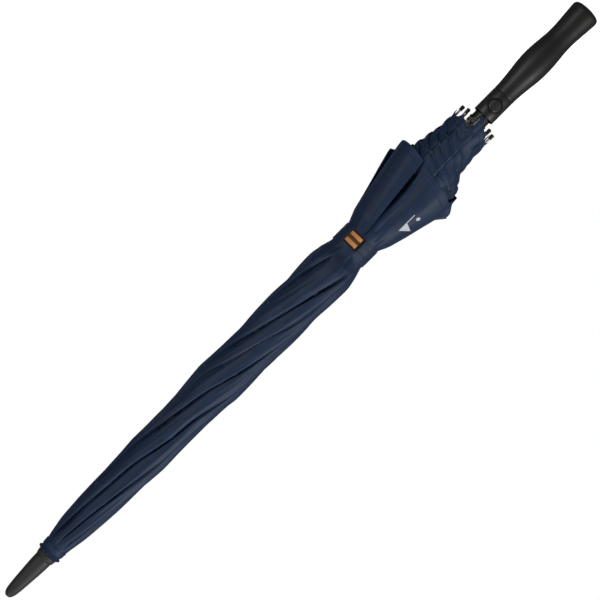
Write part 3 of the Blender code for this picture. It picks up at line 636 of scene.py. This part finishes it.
def build_gore(k):
    """One gore from rib k to the next rib: pleats under the surface, the outer petal, and more pleats."""
    rib_az = 45.0 * (k - 1)
    left, right = rib_az - 15.0, rib_az + 30.0
    mid = rib_az + 7.5
    v = np.linspace(0, 1, ROWS) ** 0.94
    columns = []      # (kind, position across, depth, share s, hem z)
    SK = 37

    def pleat(kind, a, b, depth0, depth1, s0, s1, hem0, hem1, n, first, floor_level=0):
        for i in range(0 if first else 1, n + 1):
            f = i / n
            columns.append((kind, a + (b - a) * f, depth0 + (depth1 - depth0) * f, s0 + (s1 - s0) * f, hem0 + (hem1 - hem0) * f, floor_level))
    corner = PETALS[k]["hem"][0]
    h = HIDDEN_SHARE
    floor_level = 0
    # from rib k: position across runs from -1 (left border) to 1 (right border)
    pleat("in", -1 / 3, 1.0, 1.0, 0.96, 0.0, h, 0.1180, 0.1400, 4, True)
    pleat("in", 1.0, -1.0, 0.96, 0.90, h, 2 * h, 0.1400, 0.1560, 3, False)
    pleat("in", -1.0, 1.0, 0.90, 0.84, 2 * h, 3 * h, 0.1560, 0.1690, 3, False)
    pleat("in", 1.0, -1.0, 0.84, 0.78, 3 * h, 4 * h, 0.1690, 0.1800, 3, False)
    pleat("in", -1.0, 1.0, 0.78, 0.70, 4 * h, 5 * h, 0.1800, 0.1890, 3, False)
    pleat("under", 0.62, 0.0, 0.0, 0.0, 5 * h + 0.004, 6 * h - 0.003, 0.1935, corner, 7, True)
    s0, s1 = 6 * h, 1 - 10 * h
    first_skin = len(columns)
    for i in range(SK):
        q = i / (SK - 1)
        q = q + 0.045 * math.sin(2 * math.pi * q) * -1.0
        hem = float(across(np.array(PETALS[k]["hem"]), q))
        columns.append(("skin", q, 0.0, s0 + (s1 - s0) * q, hem, 0))
    last_skin = len(columns) - 1
    end_hem = PETALS[k]["hem"][3]
    pleat("back", 1.0, 0.5, 0.0, 0.0, s1 + 0.003, s1 + h, end_hem - 0.0005, 0.1925, 3, True)
    start = 0.1905
    depth = 0.06
    s = s1 + h
    for m in range(LEVELS):
        d0, d1 = 0.06 + 0.90 * m / LEVELS, 0.06 + 0.90 * (m + 1) / LEVELS
        z0, z1 = start - 0.0138 * m, start - 0.0138 * (m + 1)
        over = 0.10
        dz, dd = 0.0138 * over / 2, (d1 - d0) * over / 2
        pleat("show", -1.0 - over * 0.5, 1.0 + over, d0 - dd / 2, d1 + dd, s + 0.004, s + h, z0 + dz / 2, z1 - dz, 10, True, m)
        s += h
        if m < LEVELS - 1:
            pleat("in", 1.0, -0.97, d1 + 0.09, d1 + 0.05, s, s + h, z1 - 0.0006, z1 + 0.0006, 3, False)
            s += h
    pleat("show", 1.0, 1.0 + 2 / 3, 0.96, 1.0, s, 1.0, start - 0.0138 * LEVELS, 0.1165, 3, False, LEVELS)

    n = len(columns)
    hem = np.array([c[4] for c in columns])
    share = np.array([c[3] for c in columns])
    kinds = np.array([c[0] for c in columns])
    level = np.array([c[5] for c in columns], float)
    across_az = np.array([(mid + 22.5 * c[1]) if c[0] in ("show", "in") else mid for c in columns])
    strand = 2 * math.pi * (level - k) / 8.0
    ripple = 0.0011 * np.sin(5 * np.radians(across_az) + strand) + 0.0007 * np.sin(11 * np.radians(across_az) + 3 * strand)
    hem = hem + np.where(kinds == "show", ripple, 0.0)
    # a flap at the front hangs lower and hides two of the rib ends
    off = np.mod(across_az + 112.0 + 180.0, 360.0) - 180.0
    flap = smooth(np.abs(off), 34.0, 20.0) * np.where(kinds == "show", 1.0, 0.0) * smooth(hem, 0.150, 0.128)
    hem = hem - flap * (0.0118 + 0.0016 * np.sin(4 * np.radians(across_az)))
    Z = TOP - v[:, None] * (TOP - hem[None, :])
    AZ = np.zeros_like(Z)
    R = np.zeros_like(Z)
    for j, (kind, x, depth, _, _, lev) in enumerate(columns):
        z = Z[:, j]
        body = smooth(z, 0.300, 0.340)          # 0 in the open petals, 1 above the strap
        floor = rib_r(z) * 1000 + 2.1 - gap_depth(mid + 22.5 * np.clip(x, -1, 1), z)
        if kind in ("in", "show"):
            need = gore_width(z) * HIDDEN_SHARE * 1000 / (math.radians(45.0) * np.maximum(MEAN(np.maximum(z, 0.34)) - 4, 9))
            wide = 22.5 * np.clip(need, 0.06, 1.0)
            wide = wide + (22.5 - wide) * (1 - body)
            az = mid + x * wide
            if kind == "show" and x > 1.2:
                az = (rib_az + 30.0) + (x - 1.0) * 22.5
            lim = inner_limit(az, z)
            r = floor + np.maximum(lim - floor, 0.5) * (1 - depth)
            if kind == "show":
                r = r + 0.30 * smooth(-x, 0.80, 1.0) - (0.9 * smooth(x, 0.98, 1.10) if lev < LEVELS else 0.0)
                turn = 2 * math.pi * (lev - k) / 8.0
                ar = np.radians(mid + 22.5 * x)
                r = r + (0.7 * np.sin(4 * ar + turn + 30 * z) + 0.45 * np.sin(9 * ar + 3 * turn - 50 * z)) * smooth(z, 0.25, 0.17)
                # the hem lifts a little, and the band swells above it
                up = z - hem[j]
                r = r + 1.1 * np.exp(-((up - 0.004) / 0.0045) ** 2) * smooth(z, 0.25, 0.19)
                # the front flap stands over the rib ends
                r = r + 3.2 * flap[j] * smooth(z, 0.150, 0.118)
                # and every layer that shows lies over the rods
                if abs(x) <= 1.0 or lev == LEVELS:
                    to_rib = np.mod(az + 22.5, 45.0) - 22.5
                    over = rib_r(z) * 1000 + 2.3 + 0.6 * (1 - depth) - 0.20 * np.maximum(np.abs(to_rib) - 4.0, 0.0) ** 1.25
                    r = np.where(z < 0.26, np.maximum(r, over), r)
        else:
            q = x
            pa, pr = petal_at(k, np.full_like(z, q), z)
            ba = left + 45.0 * q
            br = roll_surface(ba, z)
            if kind == "under":
                gap = 1.1 + 9.0 * q
                pr = pr - gap
                br = br - 0.9 - 3.5 * q
            elif kind == "back":
                pr = pr - 1.3 - 5.0 * (1 - q)
                br = br - 0.9 - 5.0 * (1 - q)
            # the petals take over just below the strap
            pa_u = pa + 360.0 * np.round((ba - pa) / 360.0)
            az = pa_u + (ba - pa_u) * body
            tight = smooth(z, 0.3005, 0.3075)
            r = pr + (br - pr) * np.maximum(tight, body)
            to_rib = np.mod(az + 22.5, 45.0) - 22.5
            need = rib_r(z) * 1000 + 2.5 - 0.20 * np.maximum(np.abs(to_rib) - 4.5, 0.0) ** 1.25
            r = np.maximum(r, need) + 0.25 * np.exp(-((r - need) / 1.2) ** 2)
            # gathers just below the strap and long soft folds in the petals
            a = np.radians(az)
            near = np.exp(-((z - 0.2985) / 0.009) ** 2) * (1 - tight)
            r = r + near * (0.5 * np.sin(13 * a + k) + 0.35 * np.sin(21 * a + 2 * k)) * (1 if kind == "skin" else 0.2)
            fall = smooth(z, 0.305, 0.27)
            r = r + fall * (0.55 * np.sin(2 * math.pi * (1.3 * q + 0.13 * k) + 22 * z) + 0.3 * np.sin(2 * math.pi * 3.1 * q + 35 * z + k)) * np.sin(math.pi * np.clip(q, 0, 1)) ** 0.7 * (1 - body)
        AZ[:, j], R[:, j] = az, r
    # the top edges stay inside the fixed cap
    top = smooth(Z, 0.828, TOP)
    R = R + (np.minimum(R, 15.1) - R) * top
    a = np.radians(AZ)
    P = np.stack([R * MM * np.cos(a), R * MM * np.sin(a), Z], -1)

    # maps: the cloth's own, the hem's and the print's
    width = gore_width(Z)
    cloth = np.stack([(share[None, :] - 0.5) * width, Z], -1)
    steps = np.sqrt(np.diff(P[-1, :, 0]) ** 2 + np.diff(P[-1, :, 1]) ** 2 + np.diff(P[-1, :, 2]) ** 2)
    along = np.concatenate([[0], np.cumsum(steps)])
    hems = np.stack([np.broadcast_to(along[None, :], Z.shape), Z - hem[None, :]], -1)
    maps = {"cloth": cloth, "hem": hems}
    if k == 6:
        ax, az_ = -0.0290, 0.2570
        u = (P[..., 2] - az_) / MM
        w = (P[..., 0] - ax) / MM
        hide = np.ones(n, bool)
        hide[first_skin:last_skin + 1] = False
        pu, pv = -w * 1.25 / 1.45 - 1.0, (u - 0.35 * w) / 1.45
        pu, pv = np.where(hide[None, :], 500.0, pu), np.where(hide[None, :], 500.0, pv)
        maps["print"] = np.stack([pu, pv], -1)
    o = grid_object("gore_%d" % k, P, MAT["cloth_mark" if k == 6 else "cloth"], maps, (first_skin, last_skin))

    # how each point would travel: across the fan by its share of the gore's width; the weights are worked out here but
    # not kept on the mesh
    joint = JOINTS["panel_%d_fan" % k]
    Q = np.array(joint["pos_m"])
    N = np.array(joint["axis"])
    N = N / np.linalg.norm(N)
    fan = math.radians(70.0) * ratio_of("panel_%d_fan" % k)

    def rib_line(m):
        t = math.radians(45.0 * (m - 1))
        out = np.array([math.cos(t), math.sin(t), 0.0])
        return out * TOP_R + np.array([0, 0, Z_CROWN]), out * TIP_R + np.array([0, 0, Z_TIPS])
    A0, A1 = rib_line(k)
    B0, B1 = rib_line(k + 1)
    e1 = (A1 - A0) - N * ((A1 - A0) @ N)
    e1 /= np.linalg.norm(e1)
    e2 = np.cross(N, e1)
    rel = P.reshape(-1, 3) - Q
    d, lat = rel @ e1, rel @ e2

    def line_angle(L0, L1, depth):
        p0, p1 = ((L0 - Q) @ e1, (L0 - Q) @ e2), ((L1 - Q) @ e1, (L1 - Q) @ e2)
        y = p0[1] + (p1[1] - p0[1]) * (depth - p0[0]) / (p1[0] - p0[0])
        return np.arctan2(y, depth)
    deep = np.maximum(d, 0.012)
    sh = np.broadcast_to(share[None, :], Z.shape).reshape(-1)
    target = (1 - sh) * line_angle(A0, A1, deep) + sh * (line_angle(B0, B1, deep) + fan)
    w = (target - np.arctan2(lat, deep)) / fan
    w = sh + (w - sh) * smooth(d, 0.004, 0.022)
    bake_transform(o)
    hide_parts("canopy_panel_%d" % k)
    return o


def ratio_of(name):
    for c in frame["record"]["behaviour"].get("couplings", []):
        if c["joint"] == name:
            return float(c["ratio"])
    return 0.594515568


# ------------------------------------------------------------------ strap, tab and ruffle

STRAP = (0.307, 0.333)


def strap_weight(o):
    """The strap is sewn at the back. This only bakes the piece's placement into its mesh; its arms are given no turning
    here.
    """
    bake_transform(o)


def band_points(a0, a1, z0, z1, r_in, r_out, cols, rows, shape):
    """A closed thin plate bent round the roll: across its height outside, then back inside."""
    az = np.linspace(a0, a1, cols)
    out = []
    for t in np.linspace(0, 1, rows):
        out.append((z0 + (z1 - z0) * t, r_out))
    for t in np.linspace(1, 0, rows):
        out.append((z0 + (z1 - z0) * t, r_in))
    out.append((z0, r_out))
    pts = np.zeros((len(out), cols, 3))
    for i, (z, r) in enumerate(out):
        rr = r + shape(az, z)
        pts[i] = np.stack([rr * MM * np.cos(np.radians(az)), rr * MM * np.sin(np.radians(az)), np.full(cols, z)], -1)
    return pts, az, np.array([o_[0] for o_ in out])


def build_strap():
    def shape(az, z):
        a = np.radians(az)
        edge = np.exp(-((z - STRAP[0]) / 0.0022) ** 2) + np.exp(-((z - STRAP[1]) / 0.0022) ** 2)
        return 0.10 * np.sin(7 * a + 60 * z) + 0.08 * np.sin(13 * a) + 0.16 * edge * np.sin(11 * a + 1.0) - 0.12 * edge
    pts, az, zs = band_points(90.5, 449.5, STRAP[0], STRAP[1], 24.75, 25.75, 150, 12, shape)
    rows, cols = pts.shape[:2]
    arc = np.radians(az) * 25.5 * MM
    cloth = np.stack([np.broadcast_to(arc[None, :], (rows, cols)), np.broadcast_to(zs[:, None], (rows, cols))], -1)
    dist = np.minimum(zs - STRAP[0], STRAP[1] - zs)
    hems = np.stack([np.broadcast_to(arc[None, :], (rows, cols)), np.broadcast_to(dist[:, None], (rows, cols))], -1)
    o = grid_object("strap", pts, MAT["strap"], {"cloth": cloth, "hem": hems})
    cap_ends(o, rows, cols)
    strap_weight(o)
    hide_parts("strap_band")

    def flat_shape(az, z):
        return 0.0 * az

    mid_z = 0.3175
    for name, node, a0, a1, half, r_in, r_out, mat in (
            ("tab", "strap_tab", -97.0, -58.0, 8.0, 26.45, 27.5, "tab"),
            ("patch", "strap_hook_patch", -104.0, -56.5, 9.3, 25.85, 26.4, "hook")):
        pts, az, zs = band_points(a0, a1, mid_z - half * MM, mid_z + half * MM, r_in, r_out, 26, 12, flat_shape)
        rows, cols = pts.shape[:2]
        cloth = np.stack([np.broadcast_to((np.radians(az - a0) * 27 * MM)[None, :], (rows, cols)),
                          np.broadcast_to((zs - mid_z)[:, None], (rows, cols))], -1)
        o = grid_object(name, pts, MAT[mat], {"cloth": cloth})
        cap_ends(o, rows, cols)
        strap_weight(o)
        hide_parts(node)


def cap_ends(o, rows, cols):
    """Closes the two short ends of a bent plate."""
    bm = bmesh.new()
    bm.from_mesh(o.data)
    bmesh.ops.remove_doubles(bm, verts=bm.verts, dist=1e-7)
    edges = [e for e in bm.edges if e.is_boundary]
    bmesh.ops.holes_fill(bm, edges=edges, sides=0)
    bmesh.ops.recalc_face_normals(bm, faces=bm.faces)
    bm.to_mesh(o.data)
    bm.free()
    o.data.set_sharp_from_angle(angle=math.radians(40))


def tab_material():
    m, tree, shader = blank("striped_tab")
    g = Graph(tree)
    cloth = g.add("ShaderNodeUVMap", uv_map="cloth").outputs[0]
    parts = g.add("ShaderNodeSeparateXYZ")
    g.put(cloth, parts.inputs[0])
    v = parts.outputs[1]
    tan, pale, brown, rim = rgb(214, 138, 76), rgb(222, 160, 102), rgb(98, 58, 24), rgb(44, 24, 14)
    soft = g.noise(g.scaled(cloth, (0.3, 1.0, 1.0)), 900.0, 3.0)
    base = g.mix(g.span(soft, 0.3, 0.7, 0.0, 1.0), tan, pale)
    stripe = g.span(g.math("ABSOLUTE", g.math("ADD", v, 0.0002)), 0.0021, 0.0027, 1.0, 0.0)
    base = g.mix(stripe, base, brown)
    edge = g.span(g.math("ABSOLUTE", v), 0.0071, 0.0076, 0.0, 1.0)
    u = parts.outputs[0]
    ends = g.math("MAXIMUM", g.span(u, 0.0003, 0.0008, 1.0, 0.0), g.span(u, 0.0175, 0.0180, 0.0, 1.0))
    base = g.mix(g.math("MAXIMUM", edge, ends), base, rim)
    g.put(base, shader.inputs["Base Color"])
    shader.inputs["Roughness"].default_value = 0.7
    shader.inputs["Specular IOR Level"].default_value = 0.3
    ribs = g.math("SINE", g.math("MULTIPLY", u, 2 * math.pi / 0.0007))
    ribs2 = g.math("SINE", g.math("MULTIPLY", v, 2 * math.pi / 0.0009))
    g.put(g.bump(g.math("ADD", g.math("MULTIPLY", ribs, ribs2), g.math("MULTIPLY", stripe, -1.5)), 0.6, 0.0001), shader.inputs["Normal"])
    return m


def build_ruffle():
    """The gathered round of cloth between the ferrule's skirt and the canopy."""
    cols = 240
    a = np.linspace(0, 2 * math.pi, cols, endpoint=False)
    prof = [(8.4, 0.8482), (11.0, 0.8484), (12.8, 0.8483), (14.2, 0.8479), (15.3, 0.8473), (15.9, 0.8468), (16.1, 0.8463), (15.8, 0.8459),
            (15.0, 0.8453), (14.3, 0.8445), (13.9, 0.8435), (13.5, 0.8424), (11.0, 0.8421), (8.4, 0.8421), (8.4, 0.8482)]
    pts = np.zeros((len(prof), cols, 3))
    crimp = 0.5 * np.sin(17 * a + 0.6) + 0.35 * np.sin(29 * a + 2.0) + 0.25 * np.sin(11 * a)
    for i, (r, z) in enumerate(prof):
        k = np.clip((r - 10.0) / 5.5, 0, 1)
        rr = r + 0.50 * k * crimp
        zz = z + 0.0004 * k ** 2 * (np.sin(23 * a + 1.0) + 0.6 * np.sin(41 * a)) - 0.0002 * k
        pts[i] = np.stack([rr * MM * np.cos(a), rr * MM * np.sin(a), zz + 0 * a], -1)
    rows = len(prof)
    cloth = np.stack([np.broadcast_to((a * 15 * MM)[None, :], (rows, cols)),
                      np.broadcast_to(np.linspace(0, 0.014, rows)[:, None], (rows, cols))], -1)
    hems = np.stack([np.broadcast_to((a * 15 * MM)[None, :], (rows, cols)), np.full((rows, cols), 0.05)], -1)
    o = grid_object("ruffle", pts, MAT["cloth"], {"cloth": cloth, "hem": hems}, closed=True)
    bm = bmesh.new()
    bm.from_mesh(o.data)
    bmesh.ops.remove_doubles(bm, verts=bm.verts, dist=1e-7)
    bmesh.ops.recalc_face_normals(bm, faces=bm.faces)
    bm.to_mesh(o.data)
    bm.free()
    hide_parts("canopy_rosette")
    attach(o, "shaft_group")

    # fixed cap: the top of the canopy, gathered on the crown; its folds run on into the gores
    rows, cols = 10, 288
    az = np.linspace(0, 360, cols, endpoint=False)
    z = np.linspace(0.8424, 0.8342, rows)
    r = roll_surface(az[None, :], z[:, None]) + 0.30
    r[0] = np.minimum(r[0], 14.4)
    az_r = np.radians(az)[None, :]
    outer = np.stack([r * MM * np.cos(az_r), r * MM * np.sin(az_r), np.broadcast_to(z[:, None], r.shape)], -1)
    ri = r - 0.35
    inner = np.stack([ri * MM * np.cos(az_r), ri * MM * np.sin(az_r), np.broadcast_to(z[:, None], r.shape)], -1)[::-1]
    pts = np.concatenate([outer, inner, outer[:1]], 0)
    n = pts.shape[0]
    cloth = np.stack([np.broadcast_to(az_r * 0.015, (n, cols)), pts[..., 2]], -1)
    hems = np.stack([np.broadcast_to(az_r * 0.015, (n, cols)), np.full((n, cols), 0.05)], -1)
    cap = grid_object("cap", pts, MAT["cloth"], {"cloth": cloth, "hem": hems}, closed=True)
    bm = bmesh.new()
    bm.from_mesh(cap.data)
    bmesh.ops.remove_doubles(bm, verts=bm.verts, dist=1e-7)
    bmesh.ops.recalc_face_normals(bm, faces=bm.faces)
    bm.to_mesh(cap.data)
    bm.free()
    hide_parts("canopy_rosette")
    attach(cap, "shaft_group")
    return o


# ------------------------------------------------------------------ handle and ferrule

def solid(o, replaced, body):
    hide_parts(replaced)
    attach(o, body)
    return o


def build_turned_pieces():
    grip = [(14.6, -.080), (16.6, -.0793), (18.2, -.0775), (18.8, -.0742), (18.55, -.0690), (18.1, -.0635), (17.1, -.0511), (16.35, -.0390),
            (16.5, -.0268), (17.6, -.0147), (18.6, -.0026), (19.0, .0096), (18.4, .0217), (17.0, .0339), (15.6, .0460), (14.8, .0560), (14.5, .0636)]
    line = curve_through(grip, 7)
    prof = [(0.0, -0.0800), (0.012, -0.0800)] + [(r * MM, z) for r, z in line]
    prof += [(14.35 * MM, 0.0643), (14.1 * MM, 0.0646), (13.0 * MM, 0.0646), (13.0 * MM, 0.0595), (10.8 * MM, 0.0595), (10.8 * MM, -0.0720), (0.0, -0.0720)]
    solid(turned("grip_shell", prof, MAT["grip"], 128), "handle_grip", "shaft_group")

    tip = curve_through([(11.3, .8572), (11.1, .866), (10.5, .876), (9.8, .885), (9.0, .896), (8.1, .9055), (7.2, .9115), (5.8, .9160), (3.6, .9190), (1.4, .9199)], 5)
    prof = [(0.0, 0.8700), (7.4 * MM, 0.8700), (7.4 * MM, 0.8565), (11.1 * MM, 0.8565)] + [(r * MM, z) for r, z in tip] + [(0.0, 0.9200)]
    solid(turned("ferrule_shell", prof, MAT["ferrule"], 96), "ferrule", "shaft_group")
    prof = [(7.4, .8560), (11.6, .8560), (11.95, .8557), (12.3, .8545), (12.75, .8520), (13.1, .8497), (13.15, .8490), (12.9, .8488), (7.4, .8488), (7.4, .8560)]
    solid(turned("skirt_shell", [(r * MM, z) for r, z in prof], MAT["ferrule"], 96), "ferrule_skirt", "shaft_group")


BUTTON_Z = 0.0824
BUTTON_TURN = Matrix.Rotation(math.radians(-7.0), 3, "Z")


def facing(a, b, c):
    """a to the side, b up from the button's middle, c outwards; all in mm."""
    return BUTTON_TURN @ Vector((a * MM, -c * MM, BUTTON_Z + b * MM))


def dome(name, rings, material, sides=72):
    """A round piece set in the housing's wall. rings are (distance from the middle, radius of the wall it follows or None, depth in mm)."""
    bm = bmesh.new()
    rows = []
    for rho, wall, depth in rings:
        if rho < 1e-6:
            rows.append([bm.verts.new(facing(0.0, 0.0, wall - depth))])
            continue
        row = []
        for i in range(sides):
            t = 2 * math.pi * i / sides
            a, b = rho * math.cos(t), rho * math.sin(t)
            c = (math.sqrt(wall * wall - a * a) - depth) if wall else depth
            row.append(bm.verts.new(facing(a, b, c)))
        rows.append(row)
    for p, q in zip(rows, rows[1:]):
        for i in range(sides):
            k = (i + 1) % sides
            if len(p) == 1:
                bm.faces.new((p[0], q[i], q[k]))
            elif len(q) == 1:
                bm.faces.new((p[i], q[0], p[k]))
            else:
                bm.faces.new((p[i], q[i], q[k], p[k]))
    bmesh.ops.remove_doubles(bm, verts=bm.verts, dist=1e-7)
    bmesh.ops.recalc_face_normals(bm, faces=bm.faces)
    mesh = bpy.data.meshes.new(name)
    bm.to_mesh(mesh)
    bm.free()
    mesh.polygons.foreach_set("use_smooth", np.ones(len(mesh.polygons), bool))
    mesh.set_sharp_from_angle(angle=math.radians(50))
    o = bpy.data.objects.new(name, mesh)
    SCENE.collection.objects.link(o)
    o.data.materials.append(material)
    return o


def build_button():
    prof = [(14.0, .0994), (14.25, .09925), (14.4, .0989), (14.4, .0910), (14.4, .0824), (14.4, .0740), (14.4, .0657), (14.3, .0653), (14.1, .0651),
            (12.9, .0651), (12.9, .0994), (14.0, .0994)]
    housing = turned("housing_shell", [(r * MM, z) for r, z in prof], MAT["housing"], 128)
    bm = bmesh.new()
    bm.from_mesh(housing.data)
    bmesh.ops.remove_doubles(bm, verts=bm.verts, dist=1e-7)
    bmesh.ops.recalc_face_normals(bm, faces=bm.faces)
    bm.to_mesh(housing.data)
    bm.free()
    bm = bmesh.new()
    bmesh.ops.create_cone(bm, cap_ends=True, segments=96, radius1=0.010, radius2=0.010, depth=0.016)
    mesh = bpy.data.meshes.new("bore")
    bm.to_mesh(mesh)
    bm.free()
    bore = bpy.data.objects.new("bore", mesh)
    SCENE.collection.objects.link(bore)
    bore.matrix_world = Matrix.Translation(facing(0, 0, 13.5)) @ (BUTTON_TURN @ Matrix.Rotation(math.radians(90), 3, "X")).to_4x4()
    cut = housing.modifiers.new("bore", "BOOLEAN")
    cut.operation = "DIFFERENCE"
    cut.solver = "EXACT"
    cut.object = bore
    bpy.context.view_layer.update()
    done = bpy.data.meshes.new_from_object(housing.evaluated_get(bpy.context.evaluated_depsgraph_get()))
    housing.modifiers.clear()
    housing.data = done
    bpy.data.objects.remove(bore)
    housing.data.polygons.foreach_set("use_smooth", np.ones(len(housing.data.polygons), bool))
    housing.data.set_sharp_from_angle(angle=math.radians(38))
    solid(housing, "button_housing", "shaft_group")

    W = 14.55
    solid(dome("bezel_shell", [(8.35, W, 0.75), (8.55, W, 0.22), (8.8, W, 0.0), (9.05, W, 0.0), (9.35, W, 0.22), (9.68, W, 0.85), (9.68, None, 9.4), (8.35, None, 9.4), (8.35, W, 0.75)],
               MAT["housing"]), "button_bezel", "shaft_group")
    W = 14.75
    solid(dome("button_shell", [(0.0, W, 0.25), (1.6, W, 0.27), (3.2, W, 0.22), (4.6, W, 0.12), (5.3, W, 0.05), (5.6, W, 0.10), (5.75, W, 0.42), (5.95, W, 0.46), (6.1, W, 0.12),
                               (6.4, W, 0.0), (7.0, W, 0.02), (7.5, W, 0.16), (7.78, W, 0.5), (7.88, W, 1.0), (7.88, None, 12.5), (0.0, 12.5, 0.0)],
               MAT["button"]), "button", "button_group")


# ------------------------------------------------------------------ run

build_materials()
build_stage()
for number in range(1, 9):
    build_gore(number)

MAT["tab"] = tab_material()
build_strap()
build_ruffle()
build_turned_pieces()
build_button()

for node, mat in {"shaft": "enamel", "crown": "nylon", "crown_wire": "steel", "top_stop": "black", "runner": "black",
                  "runner_wire": "steel", "runner_pin": "steel", "spring_pusher": "nylon", "main_spring": "steel",
                  "spring_seat": "steel", "handle_core": "black", "handle_pin": "steel", "latch_slide": "nylon",
                  "button_spring": "steel", "ferrule": "ferrule", "ferrule_skirt": "ferrule", "canopy_rosette": "cloth",
                  "handle_grip": "grip", "button_housing": "housing", "button_bezel": "housing", "button": "button",
                  "strap_band": "strap", "strap_tab": "hook", "strap_hook_patch": "hook"}.items():
    paint(node, mat)
for number in range(1, 9):
    paint("rib_%d" % number, "rib")
    paint("rib_tip_%d" % number, "tip")
    paint("stretcher_%d" % number, "painted_light_stretcher")
